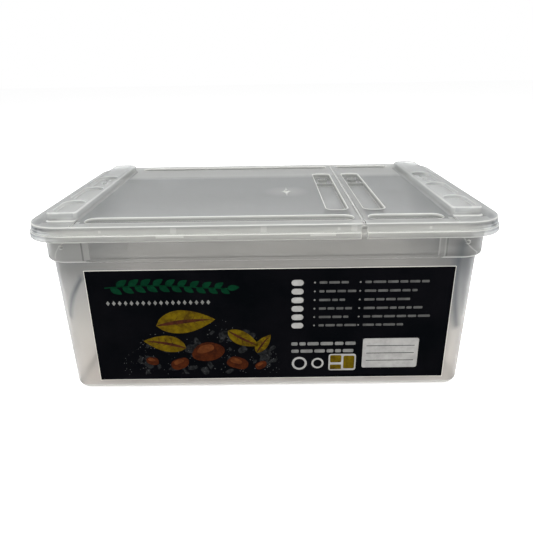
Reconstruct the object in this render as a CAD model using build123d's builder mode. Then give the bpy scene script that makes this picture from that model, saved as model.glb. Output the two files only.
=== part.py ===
from build123d import *
import math
import os

# A breeding tub with a snap lid. A fold line splits the lid into a main panel and a flap.
# X runs from left to right, Y from front to back and Z up. The origin is the middle of the footprint,
# at the height of the surface that the tub stands on. All sizes are in millimetres.

os.makedirs("parts", exist_ok=True)

# The closed box
lid_length = 150.0
lid_depth = 100.0
closed_height = 65.0

# Wall thicknesses
tub_wall = 0.9
tub_floor = 1.0
lid_plate = 0.9
skirt_wall = 0.9
pocket_wall = 0.7
rail_wall = 0.9

# Skirt of the lid: an upper tier and a lip that stands proud of it
lid_corner = 12.5
lip_proud = 0.65
lip_height = 2.2
lip_round = 0.45
skirt_drop = 4.9
lid_edge_round = 0.6

# Fold line of the lid
hinge_x = 30.4
hinge_gap = 1.0
skirt_notch = 1.8
film_thickness = 0.3
film_end_inset = 1.0

# Stacking rails at both ends of the lid
rail_height = 3.0
rail_end_gap = 6.4
rail_front_gap = 6.05
rail_rear_gap = 10.0
rail_width = 9.7
rail_front_round = 1.8
rail_rear_round = 3.0
rail_edge_round = 0.8
rail_foot_round = 0.8
cell_rim = 1.3
cell_depth = 1.2
cell_floor = 0.8
cell_round = 0.3
cell_gap = 1.6
cell_lengths = [14.8, 19.2, 18.4]
stud_radius = 0.9
stud_height = 0.6
stud_spacing = 5.0
stud_count = 3
toe_rib_width = 0.6
toe_rib_height = 0.3

# Channels along the front and rear edges of the lid
channel_width = 5.6
channel_edge_gap = 4.15
channel_depth = 1.3
channel_rail_gap = 2.4
channel_fold_gap = 2.4

# Long recesses beside the fold line
pad_depth = 1.8
pad_width = 6.9
pad_corner = 2.4
pad_fold_gap = 2.2
pad_front_gap = 6.8
pad_rear_gap = 12.6
pad_bar_y = 10.0
pad_bar_width = 1.0
pad_bar_drop = 0.6
pad_ring_y = 18.0
pad_ring_radius = 1.8
pad_ring_bore = 0.9
recess_round = 0.3

# Gate mark on the main panel
gate_x = 8.5
gate_y = -6.0
gate_radius = 1.1
gate_height = 0.3
gate_slope = 40.0

# Snap features inside the skirt
snap_gap = 0.05
catch_height = 1.6
catch_drop = 0.3
catches = [(-28.4, 8.4), (17.9, 7.7)]
bead_xs = [-49.6, 22.7, 50.3]
bead_radius = 0.55
bead_drop = 0.7

# Rim of the tub, under the lid
seat_gap = 0.05
rim_clearance = 0.35
rim_thickness = 1.2
rim_overhang = 2.35
rim_round = 0.3
gusset_xs = [-27.3, 0.0, 27.3]
gusset_width = 1.0
gusset_height = 1.3
gusset_setback = 0.4

# Body of the tub
shoulder_height = 48.9
shoulder_step = 1.6
shoulder_round = 1.2
body_taper = 1.45
base_round = 3.0
foot_width = 4.0
foot_depth = 0.5
foot_round = 4.0
base_gate_radius = 2.2
base_gate_height = 0.3

# Shallow recess in the front and rear of the band, and the pips beside it
grip_end_gap = 15.7
grip_ramp = 1.6
grip_depth = 0.8
pip_end_gap = 7.2
pip_share = 0.64
pip_radius = 0.8
pip_proud = 0.4

# Sticker on the front wall
label_left_gap = 9.45
label_right_gap = 6.35
label_top_gap = 3.0
label_bottom = 4.1
label_thickness = 0.15
glue_line = 0.02

# Smallest corner radius of a plan, how far a full round end stays under half its width,
# and how closely a face lies at a height that picks it
least_corner = 0.2
slack = 0.001
tolerance = 0.01

# Largest share of a step that a rounding takes up
fillet_share = 0.75

# Heights
lid_top = closed_height - rail_height
lid_under = lid_top - lid_plate
skirt_bottom = lid_top - skirt_drop
lip_top = skirt_bottom + lip_height
rim_top = lid_under - seat_gap
rim_base = rim_top - rim_thickness
flare_start = rim_base - rim_overhang
floor_top = foot_depth + tub_floor
inner_shoulder = shoulder_height + tub_wall
knee = tub_wall * math.tan(math.pi / 8)

# Plan sizes, each a length, a depth and a corner radius
lip_plan = (lid_length, lid_depth, lid_corner)


def inset(plan, distance):
    """The plan moved inwards by a distance, with its corners kept concentric."""
    length, depth, corner = plan
    return (length - 2 * distance, depth - 2 * distance, max(corner - distance, least_corner))


tier_plan = inset(lip_plan, lip_proud)
skirt_inside = inset(tier_plan, skirt_wall)
rim_plan = inset(skirt_inside, rim_clearance)
band_plan = inset(rim_plan, rim_overhang)
body_plan = inset(band_plan, shoulder_step)
base_plan = inset(body_plan, body_taper)
rail_x = tier_plan[0] / 2 - rail_end_gap - rail_width / 2
rail_inner = rail_x - rail_width / 2
rail_outer = rail_x + rail_width / 2
rail_front = rail_front_gap - tier_plan[1] / 2
rail_rear = tier_plan[1] / 2 - rail_rear_gap
channel_y = tier_plan[1] / 2 - channel_edge_gap - channel_width / 2
grip_half = band_plan[0] / 2 - grip_end_gap
pip_x = band_plan[0] / 2 - pip_end_gap
pip_height = shoulder_height + pip_share * (flare_start - shoulder_height)
taper_angle = math.atan2(body_taper, shoulder_height)

# Channels of the main panel and of the flap, from end to end
channel_reach = rail_inner - channel_rail_gap
channel_spans = [(-channel_reach, hinge_x - channel_fold_gap), (hinge_x + channel_fold_gap, channel_reach)]

# Long recesses, whose ends keep their distance from the channels
pad_offset = hinge_gap / 2 + pad_fold_gap + pad_width / 2
pad_centres = [hinge_x - pad_offset, hinge_x + pad_offset]
pad_front = pad_front_gap + channel_width / 2 - channel_y
pad_rear = channel_y - channel_width / 2 - pad_rear_gap

# Cells in the top of each rail, from the front, each with its two ends
cells = []
cell_start = rail_front + cell_rim
for cell_length in cell_lengths:
    cells.append((cell_start, cell_start + cell_length))
    cell_start += cell_length + cell_gap
cells_end = cells[-1][1] + cell_rim
lip_edge_round = min(lip_round, lip_proud * fillet_share, lip_height * fillet_share / 2)


def body_at(height):
    """Outer plan of the tapered body at a height."""
    return inset(body_plan, body_taper * (1 - height / shoulder_height))


def faces_at(builder, height):
    """Level faces of a builder's part at a height."""
    return [face for face in builder.faces().filter_by(Axis.Z) if abs(face.center().Z - height) < tolerance]


def rail_corners(side, front, rear, wall):
    """Corners of one rail's plan between two places, one wall inside its outer faces."""
    near_x = side * rail_x - rail_width / 2 + wall
    far_x = side * rail_x + rail_width / 2 - wall
    return [(near_x, front + wall), (far_x, front + wall), (far_x, rear - wall), (near_x, rear - wall)]


def rail_rounds(wall):
    """Radii of those corners, concentric with the outer ones."""
    return [rail_front_round - wall, rail_front_round - wall, rail_rear_round - wall, rail_rear_round - wall]


def grip_outline(side, half_depth):
    """Corners of the grip recess on one side, for a wall whose face is at half_depth."""
    face = side * half_depth
    floor = side * (half_depth - grip_depth)
    beyond = side * (half_depth + grip_depth)
    foot = grip_half + grip_ramp
    return [(-foot, beyond), (-foot, face), (-grip_half, floor), (grip_half, floor), (foot, face), (foot, beyond)]


# Tub: a tapered body, a wider band above the shoulder, and a rim that flares out under the lid
with BuildPart() as tub:
    with BuildSketch(Plane.XY):
        RectangleRounded(*base_plan)
    with BuildSketch(Plane.XY.offset(shoulder_height)):
        RectangleRounded(*body_plan)
    loft(ruled=True)
    fillet(tub.faces().sort_by(Axis.Z)[0].edges(), radius=base_round)

    with BuildSketch(Plane.XY.offset(shoulder_height)):
        RectangleRounded(*band_plan)
    extrude(amount=flare_start - shoulder_height)
    fillet(faces_at(tub, shoulder_height)[0].outer_wire().edges(), radius=min(shoulder_round, shoulder_step * fillet_share))

    with BuildSketch(Plane.XY.offset(flare_start)):
        RectangleRounded(*band_plan)
    with BuildSketch(Plane.XY.offset(rim_base)):
        RectangleRounded(*rim_plan)
    loft(ruled=True)
    with BuildSketch(Plane.XY.offset(rim_base)):
        RectangleRounded(*rim_plan)
    extrude(amount=rim_thickness)
    fillet(tub.faces().sort_by(Axis.Z)[-1].edges(), radius=rim_round)

    # The grip recess on the outside of the band
    for side in (-1, 1):
        with BuildSketch(Plane.XY.offset(shoulder_height)):
            with BuildLine():
                Polyline(*grip_outline(side, band_plan[1] / 2), close=True)
            make_face()
        extrude(amount=flare_start - shoulder_height, mode=Mode.SUBTRACT)

    # The cavity, one wall inside the outer faces
    with BuildSketch(Plane.XY.offset(floor_top)):
        RectangleRounded(*inset(body_at(floor_top), tub_wall))
    with BuildSketch(Plane.XY.offset(inner_shoulder)):
        RectangleRounded(*inset(body_at(inner_shoulder), tub_wall))
    loft(ruled=True, mode=Mode.SUBTRACT)
    fillet(faces_at(tub, floor_top)[0].edges(), radius=base_round - tub_wall)

    band_inside = inset(band_plan, tub_wall)
    rim_inside = inset(rim_plan, tub_wall)
    with BuildSketch(Plane.XY.offset(inner_shoulder)):
        RectangleRounded(*band_inside)
        for side in (-1, 1):
            with BuildLine():
                Polyline(*grip_outline(side, band_inside[1] / 2), close=True)
            make_face(mode=Mode.SUBTRACT)
    extrude(amount=flare_start + knee - inner_shoulder, mode=Mode.SUBTRACT)
    with BuildSketch(Plane.XY.offset(flare_start + knee)):
        RectangleRounded(*band_inside)
    with BuildSketch(Plane.XY.offset(rim_base + knee)):
        RectangleRounded(*rim_inside)
    loft(ruled=True, mode=Mode.SUBTRACT)
    with BuildSketch(Plane.XY.offset(rim_base + knee)):
        RectangleRounded(*rim_inside)
    extrude(amount=rim_top - rim_base - knee, mode=Mode.SUBTRACT)

    # Underside: a raised middle inside a flat foot, with the gate mark of the mould
    with BuildSketch(Plane.XY):
        RectangleRounded(*inset(base_plan, base_round + foot_width)[:2], foot_round)
    extrude(amount=foot_depth, mode=Mode.SUBTRACT)
    with BuildSketch(Plane.XY.offset(foot_depth - base_gate_height)):
        Circle(base_gate_radius)
    extrude(amount=base_gate_height + tub_floor / 2)

    # Gussets that carry the rim, and a pip beside each end of the grip recess
    gusset_root = band_plan[1] / 2 - grip_depth - tub_wall / 2
    gusset_tip = rim_plan[1] / 2 - gusset_setback
    tip_height = flare_start + gusset_tip - band_plan[1] / 2
    for side in (-1, 1):
        for x in gusset_xs:
            with BuildSketch(Plane.YZ.offset(x - gusset_width / 2)):
                with BuildLine():
                    Polyline(
                        (side * gusset_root, flare_start - gusset_height),
                        (side * gusset_tip, tip_height - gusset_height),
                        (side * gusset_tip, tip_height + tub_wall / 3),
                        (side * gusset_root, flare_start),
                        close=True,
                    )
                make_face()
            extrude(amount=gusset_width)
    for side in (-1, 1):
        pip_y = side * (band_plan[1] / 2 + pip_proud - pip_radius)
        with Locations([(-pip_x, pip_y, pip_height), (pip_x, pip_y, pip_height)]):
            Sphere(pip_radius)


# The whole lid as it leaves the mould, before the fold line parts it
with BuildPart() as lid_blank:
    with BuildSketch(Plane.XY.offset(lip_top)):
        RectangleRounded(*tier_plan)
    extrude(amount=lid_top - lip_top)
    fillet(lid_blank.faces().sort_by(Axis.Z)[-1].edges(), radius=lid_edge_round)
    with BuildSketch(Plane.XY.offset(skirt_bottom)):
        RectangleRounded(*lip_plan)
    extrude(amount=lip_height)
    fillet(faces_at(lid_blank, skirt_bottom)[0].outer_wire().edges(), radius=lip_edge_round)
    fillet(faces_at(lid_blank, lip_top)[0].outer_wire().edges(), radius=lip_edge_round)

    # The hollow of the skirt
    with BuildSketch(Plane.XY.offset(skirt_bottom)):
        RectangleRounded(*skirt_inside)
    extrude(amount=lid_under - skirt_bottom, mode=Mode.SUBTRACT)
    with BuildSketch(Plane.XY.offset(skirt_bottom)):
        RectangleRounded(*inset(skirt_inside, -lip_proud))
    extrude(amount=lip_height - skirt_wall, mode=Mode.SUBTRACT)

    # Channels and long recesses: each is a pocket that hangs from the plate, open at the top
    pockets = []
    for start, end in channel_spans:
        for side in (-1, 1):
            place = ((start + end) / 2, side * channel_y)
            pockets.append((place, (end - start, channel_width, channel_width / 2 - slack), channel_depth))
    for centre in pad_centres:
        place = (centre, (pad_front + pad_rear) / 2)
        pockets.append((place, (pad_width, pad_rear - pad_front, pad_corner), pad_depth))
    for place, plan, depth in pockets:
        with BuildSketch(Plane.XY.offset(lid_top - depth - pocket_wall)):
            with Locations(place):
                RectangleRounded(*inset(plan, -pocket_wall))
        extrude(amount=depth + pocket_wall - lid_plate / 2)
    for place, plan, depth in pockets:
        with BuildSketch(Plane.XY.offset(lid_top - depth)):
            with Locations(place):
                RectangleRounded(*plan)
        extrude(amount=depth, mode=Mode.SUBTRACT)
    plate_face = faces_at(lid_blank, lid_top)[0]
    fillet([edge for wire in plate_face.inner_wires() for edge in wire.edges()], radius=recess_round)

    # A bar and a ring in each long recess
    with BuildSketch(Plane.XY.offset(lid_top - pad_depth)):
        for centre in pad_centres:
            with Locations((centre, pad_bar_y)):
                Rectangle(pad_width + pocket_wall, pad_bar_width)
            with Locations((centre, pad_ring_y)):
                Circle(pad_ring_radius)
                Circle(pad_ring_bore, mode=Mode.SUBTRACT)
    extrude(amount=pad_depth - pad_bar_drop)

    # Gate mark
    with BuildSketch(Plane.XY.offset(lid_top)):
        with Locations((gate_x, gate_y)):
            Circle(gate_radius)
    extrude(amount=gate_height, taper=gate_slope)

    # Stacking rails, hollow from below, with three cells in the top of each
    for side in (-1, 1):
        with BuildSketch(Plane.XY.offset(lid_under)):
            with BuildLine():
                corners = rail_corners(side, rail_front, rail_rear, 0)
                FilletPolyline(*corners, radius=rail_rounds(0), close=True)
            make_face()
        extrude(amount=lid_plate + rail_height)
    rail_tops = lid_blank.faces().filter_by(Axis.Z).group_by(Axis.Z)[-1]
    fillet(rail_tops.edges(), radius=rail_edge_round)
    top_edges = lid_blank.edges().filter_by_position(Axis.Z, lid_top - tolerance, lid_top + tolerance)
    rail_feet = [e for e in top_edges if rail_inner - tolerance < abs(e.center().X) < rail_outer + tolerance]
    fillet(rail_feet, radius=rail_foot_round)

    for side in (-1, 1):
        with BuildSketch(Plane.XY.offset(lid_under)):
            with BuildLine():
                corners = rail_corners(side, rail_front, rail_rear, rail_wall)
                FilletPolyline(*corners, radius=rail_rounds(rail_wall), close=True)
            make_face()
        extrude(amount=lid_plate + rail_height - cell_depth - cell_floor, mode=Mode.SUBTRACT)
        with BuildSketch(Plane.XY.offset(lid_under)):
            with BuildLine():
                corners = rail_corners(side, cells_end - rail_wall, rail_rear, rail_wall)
                FilletPolyline(*corners, radius=rail_rounds(rail_wall), close=True)
            make_face()
        extrude(amount=lid_plate + rail_height - rail_wall, mode=Mode.SUBTRACT)
        with BuildSketch(Plane.XY.offset(closed_height - cell_depth)):
            for start, end in cells:
                with Locations((side * rail_x, (start + end) / 2)):
                    SlotOverall(end - start, rail_width - 2 * cell_rim, rotation=90)
        extrude(amount=cell_depth, mode=Mode.SUBTRACT)
        with BuildSketch(Plane.XY.offset(closed_height - cell_depth)):
            with Locations((side * rail_x, sum(cells[-1]) / 2)):
                with GridLocations(stud_spacing, stud_spacing, 1, stud_count):
                    Circle(stud_radius)
        extrude(amount=stud_height)
    rail_tops = lid_blank.faces().filter_by(Axis.Z).group_by(Axis.Z)[-1]
    fillet([edge for face in rail_tops for wire in face.inner_wires() for edge in wire.edges()], radius=cell_round)

    # A low rib that runs on from the inner side of each rail to the front edge
    with BuildSketch(Plane.XY.offset(lid_top)):
        for side in (-1, 1):
            front_edge = -tier_plan[1] / 2 + lid_edge_round
            toe_middle = (front_edge + rail_front + rail_front_round) / 2
            with Locations((side * (rail_inner + toe_rib_width / 2), toe_middle)):
                Rectangle(toe_rib_width, rail_front + rail_front_round - front_edge)
    extrude(amount=toe_rib_height)

    # Snap catches under the rim, and beads that centre the lid on it
    catch_top = rim_base - catch_drop
    catch_inside = skirt_inside[1] / 2 - rim_clearance + snap_gap
    catch_root = skirt_inside[1] / 2 + lip_proud + skirt_wall / 3
    with BuildSketch(Plane.XY.offset(catch_top - catch_height)):
        for side in (-1, 1):
            for x, width in catches:
                with Locations((x, side * (catch_inside + catch_root) / 2)):
                    Rectangle(width, catch_root - catch_inside)
    extrude(amount=catch_height)
    bead_y = catch_inside + bead_radius
    for side in (-1, 1):
        with Locations([(x, side * bead_y, lid_under - bead_drop) for x in bead_xs]):
            Sphere(bead_radius)

    # Notch that parts the skirt at the fold line
    with BuildSketch(Plane.XY.offset(skirt_bottom)):
        with Locations((hinge_x, 0)):
            Rectangle(skirt_notch, lid_depth)
    extrude(amount=lid_under - skirt_bottom, mode=Mode.SUBTRACT)


# Main panel and flap, on either side of the fold line
with BuildPart() as lid_panel:
    add(lid_blank.part)
    split(bisect_by=Plane.YZ.offset(hinge_x - hinge_gap / 2), keep=Keep.BOTTOM)

with BuildPart() as lid_flap:
    add(lid_blank.part)
    split(bisect_by=Plane.YZ.offset(hinge_x + hinge_gap / 2), keep=Keep.TOP)

# The film that joins them, level with the top of the lid
with BuildPart() as living_hinge:
    with BuildSketch(Plane.XY.offset(lid_top - film_thickness)):
        with Locations((hinge_x, 0)):
            Rectangle(hinge_gap, tier_plan[1] - 2 * film_end_inset)
    extrude(amount=film_thickness)

# Sticker, flat on the sloping front wall
label_height = shoulder_height - label_top_gap - label_bottom
label_width = base_plan[0] - label_left_gap - label_right_gap
label_middle = label_bottom + label_height / 2
wall_plane = Plane(
    origin=((label_left_gap - label_right_gap) / 2, -body_at(label_middle)[1] / 2, label_middle),
    x_dir=(1, 0, 0),
    z_dir=(0, -math.cos(taper_angle), -math.sin(taper_angle)),
)
with BuildPart() as front_label:
    with BuildSketch(wall_plane.offset(glue_line)):
        Rectangle(label_width, label_height)
    extrude(amount=label_thickness)

pieces = {
    "tub": tub,
    "lid_panel": lid_panel,
    "lid_flap": lid_flap,
    "living_hinge": living_hinge,
    "front_label": front_label,
}
for name, piece in pieces.items():
    piece.part.label = name
    export_step(piece.part, f"parts/{name}.step")
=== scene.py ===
import math
import random

import bmesh
import bpy
from mathutils import Matrix, Vector


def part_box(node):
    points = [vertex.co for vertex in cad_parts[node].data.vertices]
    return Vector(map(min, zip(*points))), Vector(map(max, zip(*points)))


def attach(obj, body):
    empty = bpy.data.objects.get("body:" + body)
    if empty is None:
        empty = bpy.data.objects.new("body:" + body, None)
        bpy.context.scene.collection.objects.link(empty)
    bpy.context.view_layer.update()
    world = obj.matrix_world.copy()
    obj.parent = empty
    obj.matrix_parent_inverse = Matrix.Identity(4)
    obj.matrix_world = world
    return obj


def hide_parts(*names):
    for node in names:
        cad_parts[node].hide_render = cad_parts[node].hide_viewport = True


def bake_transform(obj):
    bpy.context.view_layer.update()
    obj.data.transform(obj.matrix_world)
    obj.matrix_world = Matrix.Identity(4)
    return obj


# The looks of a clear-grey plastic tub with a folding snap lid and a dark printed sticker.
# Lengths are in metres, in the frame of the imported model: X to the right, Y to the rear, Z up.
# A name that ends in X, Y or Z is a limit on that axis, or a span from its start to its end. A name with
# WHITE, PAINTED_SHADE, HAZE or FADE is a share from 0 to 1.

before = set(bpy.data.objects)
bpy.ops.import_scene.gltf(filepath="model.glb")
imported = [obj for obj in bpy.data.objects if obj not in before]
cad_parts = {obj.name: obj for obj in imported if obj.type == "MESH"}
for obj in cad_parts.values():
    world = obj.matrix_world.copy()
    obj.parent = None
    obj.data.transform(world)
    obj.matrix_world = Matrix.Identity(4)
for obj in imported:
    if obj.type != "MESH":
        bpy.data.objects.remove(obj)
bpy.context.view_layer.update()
MM = 0.001

# Camera, fitted to the outlines of the lid, the body and the sticker
IMAGE_SIDE = 533
FOCAL_PIXELS = 522.7
SENSOR_WIDTH = 36.0
CAMERA_PLACE = Vector((1.84, -200.14, 106.81)) * MM
CAMERA_PITCH = math.radians(21.13)
CAMERA_YAW = math.radians(-0.44)
CAMERA_ROLL = math.radians(-0.945)
CAMERA_CLIP = (0.005, 50.0)

# World and floor
WORLD_LIGHT = 0.45
FLOOR_SIZE = 6.0
FLOOR_DROP = 0.02 * MM
FLOOR_COLOUR = (0.8, 0.8, 0.8)
FLOOR_GLOW = 0.62

# Lamps, each with its name, place, width, depth and power, all aimed at one point
LAMP_AIM = Vector((0.0, 0.0, 0.03))
LAMPS = [
    ("front_light", (0.0, -0.35, 0.62), 0.9, 0.10, 5.0),
    ("rear_light", (0.0, 0.45, 0.60), 0.9, 0.10, 3.0),
    ("left_light", (-0.62, -0.1, 0.45), 0.10, 0.7, 1.2),
    ("right_light", (0.62, -0.1, 0.45), 0.10, 0.7, 1.2),
]

# How often light may pass or bounce, so that it gets through all the walls of the plastic
CLEAR_BOUNCES = 32
GLOSS_BOUNCES = 12
MATT_BOUNCES = 6

# Polypropylene: how much light goes through it, how much of that goes straight, its roughness and refraction
CLEARNESS = 0.80
TUB_STRAIGHT = 0.60
LID_STRAIGHT = 0.62
PLASTIC_ROUGH = 0.285
PLASTIC_IOR = 1.49

# Heights from which the plastics have a tint, partly their grey and partly painted light and shade: the tub
# is painted darker in its upper band and lighter low down and at its rim, the lid lighter at its skirt and
# its rails than at its plate. The tub goes from its foot up to its rim, then the lid from its skirt over its
# plate to its rails. Between two heights the tint changes evenly.
TUB_TINT_SHADE_BANDS = [
    (3.0 * MM, (0.76, 0.725, 0.69)),
    (24.0 * MM, (0.68, 0.665, 0.635)),
    (40.5 * MM, (0.47, 0.47, 0.465)),
    (46.0 * MM, (0.31, 0.31, 0.305)),
    (56.0 * MM, (0.31, 0.31, 0.305)),
    (57.5 * MM, (0.66, 0.665, 0.65)),
]
LID_TINT_LIGHT_BANDS = [
    (60.6 * MM, (0.80, 0.805, 0.78)),
    (61.2 * MM, (0.43, 0.44, 0.44)),
    (62.0 * MM, (0.43, 0.44, 0.44)),
    (62.6 * MM, (0.90, 0.91, 0.90)),
]

# Painted shade: plastic seen at a slant is longer to look through, so it is painted nearer to this shade
# colour by this share, darkening the lid's top and the rounded corners. All the other painted shade has this
# colour too.
PAINTED_SHADE = (0.13, 0.15, 0.175)
SLANT_PAINTED_SHADE = 0.4
SLANT_FACING = (0.25, 0.95)

# Flow clouds, the fine grain and the rubbed patches of the plastic, and the part of a noise that they use
NOISE_MIDDLE = (0.35, 0.65)
CLOUD_SCALE = 30.0
CLOUD_STRETCH = (1.0, 1.6, 1.0)
CLOUD_WHITE = 0.08
GRAIN_SCALE = 1400.0
GRAIN_ROUGH = 0.02
GRAIN_BUMP = 0.02
GRAIN_HEIGHT = 0.004 * MM
RUB_SCALE = 180.0
RUB_MIDDLE = (0.55, 0.75)
RUB_ROUGH = 0.05

# Painted highlights and painted light, beside an edge and at the other whitened places, where the plastic is
# painted cream and made less clear: the colour, how much of it a white place takes, how much clearness it
# loses, the edge's reach, and the slant and the turn of the surface that count as an edge
CREAM = (0.56, 0.56, 0.53)
CREAM_SHARE = 0.85
MILK_SHARE = 0.65
EDGE_REACH = 0.6 * MM
EDGE_SAMPLES = 4
EDGE_SLANT = (0.05, 0.20)
EDGE_LIKENESS = (0.80, 0.985)

# Lengths over which a mark's straight and round borders fade
SOFT_END = 0.05 * MM
SOFT_CORNER = 0.06 * MM

# Recesses of the lid: they lie within these limits of the plate. Their walls get painted highlights where
# they are upright enough, and their floors get painted shade, as dark as the plate.
RECESS_X = 66.0 * MM
RECESS_Y = 46.5 * MM
RECESS_Z = (59.5 * MM, 62.0 * MM)
WALL_WHITE = 0.5
WALL_UPRIGHT = (0.5, 0.9)
RECESS_FLOOR_Z = (58.5 * MM, 61.0 * MM)
RECESS_FLOOR_SHADE = 0.52

# Outlines of the recesses: the middle, the half sizes and the corner's radius. Both channels lie at the front
# and at the rear, a pad on each side of the fold. The half breadths of their lips, which get painted
# highlights, follow, across and along.
FOLD_X = 30.4 * MM
CHANNELS = [
    ((-13.93 * MM, 42.4 * MM), (41.93 * MM, 2.8 * MM), 2.8 * MM),
    ((44.33 * MM, 42.4 * MM), (11.53 * MM, 2.8 * MM), 2.8 * MM),
]
PAD = ((6.15 * MM, -2.9 * MM), (3.45 * MM, 29.9 * MM), 2.4 * MM)
LIP_HALF = (0.22 * MM, 0.60 * MM)
PAD_LIP_HALF = (0.40 * MM, 0.90 * MM)

# Top face of the lid: painted light on its margin at the ends and along the channels, and on its rear
TOP_Z = (61.4 * MM, 62.0 * MM)
MARGIN_X = (68.0 * MM, 69.0 * MM)
MARGIN_Y = (45.5 * MM, 45.7 * MM)
MARGIN_WHITE = 0.45
MARGIN_END_WHITE = 0.22
REAR_LIGHT_Y = (19.0 * MM, 25.0 * MM)
REAR_PAINTED_WHITE = 0.44

# Clear strip along the fold, and the painted light beside it
FOLD_STRIP = 1.3 * MM
FOLD_LIGHT_X = (1.6 * MM, 2.9 * MM)
FOLD_PAINTED_WHITE = 0.24

# Gate of the lid: a star whose arms are this long and this thin, at full strength for this share of their
# length, in a haze of this radius
GATE_PLACE = (8.3 * MM, -6.0 * MM, 62.0 * MM)
GATE_STAR = (2.4 * MM, 8.0 * MM)
GATE_THINNESS = 0.12
GATE_FULL = 0.25
GATE_RADIUS = 9.0 * MM
GATE_HAZE = 0.22

# Skirt of the lid, with painted light along its sides and ends
SKIRT_X = (72.0 * MM, 72.3 * MM)
SKIRT_Y = (47.0 * MM, 47.3 * MM)
SKIRT_Z = (59.4 * MM, 61.6 * MM)
SKIRT_WHITE = 0.45

# Rounded corners of the skirt and the lip: less painted white, with painted reflections as dark streaks,
# above a lip with painted shade at its ends
CORNER_X = (60.0 * MM, 71.0 * MM)
CORNER_Y = (33.0 * MM, 40.0 * MM)
CORNER_WHITE = 0.3
CORNER_EDGE_FADE = 0.3
CORNER_STREAKS = [(60.5 * MM, 61.1 * MM), (59.6 * MM, 60.1 * MM), (58.4 * MM, 59.0 * MM)]
STREAK_SOFT = 0.12 * MM
STREAK_SHADE = 0.9
LIP_END_SHADE = 0.5

# Rails of the lid: tops with painted light that fades to the rear, as their edges' painted highlights do,
# clear feet, and inner sides with painted light
RAIL_Z = (62.4 * MM, 63.4 * MM)
RAIL_WHITE = 0.15
RAIL_REAR_WHITE = 0.15
RAIL_FRONT_Y = -43.7 * MM
RAIL_FADE_Y = (-40.0 * MM, 22.0 * MM)
RAIL_FADE = (0.35, 0.85)
RAIL_FADE_Z = 62.6 * MM
RAIL_FOOT_X = (56.9 * MM, 58.7 * MM)
RAIL_FOOT_Y = 46.0 * MM
RAIL_FOOT_Z = (61.9 * MM, 63.2 * MM)
RAIL_SIDE_Z = (62.1 * MM, 64.6 * MM)
RAIL_SIDE_WHITE = 0.15

# Cells in the tops of the rails: painted shade, darkest at their inner sides, and edges with less painted
# highlight
CELL_X = (59.3 * MM, 66.5 * MM)
CELL_Z = (63.4 * MM, 64.7 * MM)
CELL_FADE = 0.6
CELL_SHADE = 0.4

# Front and rear walls lie beyond this depth
WALL_Y = (42.0 * MM, 43.0 * MM)

# Places of the lid's front and rear with painted highlights, each with its spans in X and Z and its share:
# the catches, the beads and the gussets behind the skirt
LID_SPOTS = [
    ((-32.6 * MM, -24.2 * MM), (58.4 * MM, 59.2 * MM), 0.45),
    ((14.05 * MM, 21.75 * MM), (58.4 * MM, 59.2 * MM), 0.45),
    ((-50.0 * MM, -49.2 * MM), (60.0 * MM, 60.8 * MM), 0.8),
    ((22.3 * MM, 23.1 * MM), (60.0 * MM, 60.8 * MM), 0.8),
    ((49.9 * MM, 50.7 * MM), (60.0 * MM, 60.8 * MM), 0.8),
    ((-28.2 * MM, -26.4 * MM), (59.6 * MM, 61.4 * MM), 0.7),
    ((-0.9 * MM, 0.9 * MM), (59.6 * MM, 61.4 * MM), 0.7),
    ((26.4 * MM, 28.2 * MM), (59.6 * MM, 61.4 * MM), 0.7),
]

# Those of the tub, with painted light: three gussets, the rim, the ends of the grip recess and the corners of
# the band
TUB_SPOTS = [
    ((-28.0 * MM, -26.6 * MM), (56.6 * MM, 59.8 * MM), 0.7),
    ((-0.7 * MM, 0.7 * MM), (56.6 * MM, 59.8 * MM), 0.7),
    ((26.6 * MM, 28.0 * MM), (56.6 * MM, 59.8 * MM), 0.7),
    ((-80.0 * MM, 80.0 * MM), (57.8 * MM, 61.5 * MM), 0.5),
    ((-56.85 * MM, -55.2 * MM), (50.0 * MM, 57.4 * MM), 0.45),
    ((54.85 * MM, 55.25 * MM), (50.0 * MM, 57.4 * MM), 0.5),
    ((55.25 * MM, 56.45 * MM), (50.0 * MM, 57.4 * MM), 0.22),
    ((56.45 * MM, 56.85 * MM), (50.0 * MM, 57.4 * MM), 0.5),
    ((-80.0 * MM, -57.4 * MM), (49.5 * MM, 57.4 * MM), 0.42),
    ((57.4 * MM, 80.0 * MM), (49.5 * MM, 57.4 * MM), 0.18),
]

# Soft lines of the tub's front wall, each with its upper and its lower end in X and Z, its half width and its
# share: dark streaks, of which the broad third one is painted shade, and painted highlights on slants inside
# the upper corners of the band
LINE_BEND = 1.0 * MM
LINE_FADE = 2.0 * MM
DARK_STREAKS = [
    ((-59.6 * MM, 42.9 * MM), (-65.2 * MM, 29.4 * MM), 1.4 * MM, 0.82),
    ((62.0 * MM, 54.0 * MM), (64.2 * MM, 24.0 * MM), 2.6 * MM, 0.85),
    ((65.0 * MM, 49.0 * MM), (66.5 * MM, 28.0 * MM), 5.5 * MM, 0.54),
]
BAND_SLANTS = [
    ((-61.2 * MM, 57.0 * MM), (-66.2 * MM, 50.8 * MM), 0.7 * MM, 0.8),
    ((61.6 * MM, 57.2 * MM), (67.2 * MM, 50.6 * MM), 0.6 * MM, 0.65),
]

# Film of the fold line: its mesh, its overlap with the panels, its groove and its whitened crease
HINGE_ROWS = 48
HINGE_COLUMNS = 10
HINGE_OVERLAP = 0.04 * MM
HINGE_GROOVE = 0.12 * MM
CREASE_HALF = 0.27 * MM
CREASE_WHITE = (0.60, 0.85)
FILM_COLOUR = (0.24, 0.25, 0.25)
FILM_CLEARNESS = 0.90
CREASE_CLEARNESS = 0.35
FILM_ROUGH = (0.16, 0.30)
STRESS_SCALE = 500.0
STRESS_STRETCH = (1.0, 0.25, 1.0)
STRESS_BUMP = 0.2
STRESS_HEIGHT = 0.02 * MM

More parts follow.
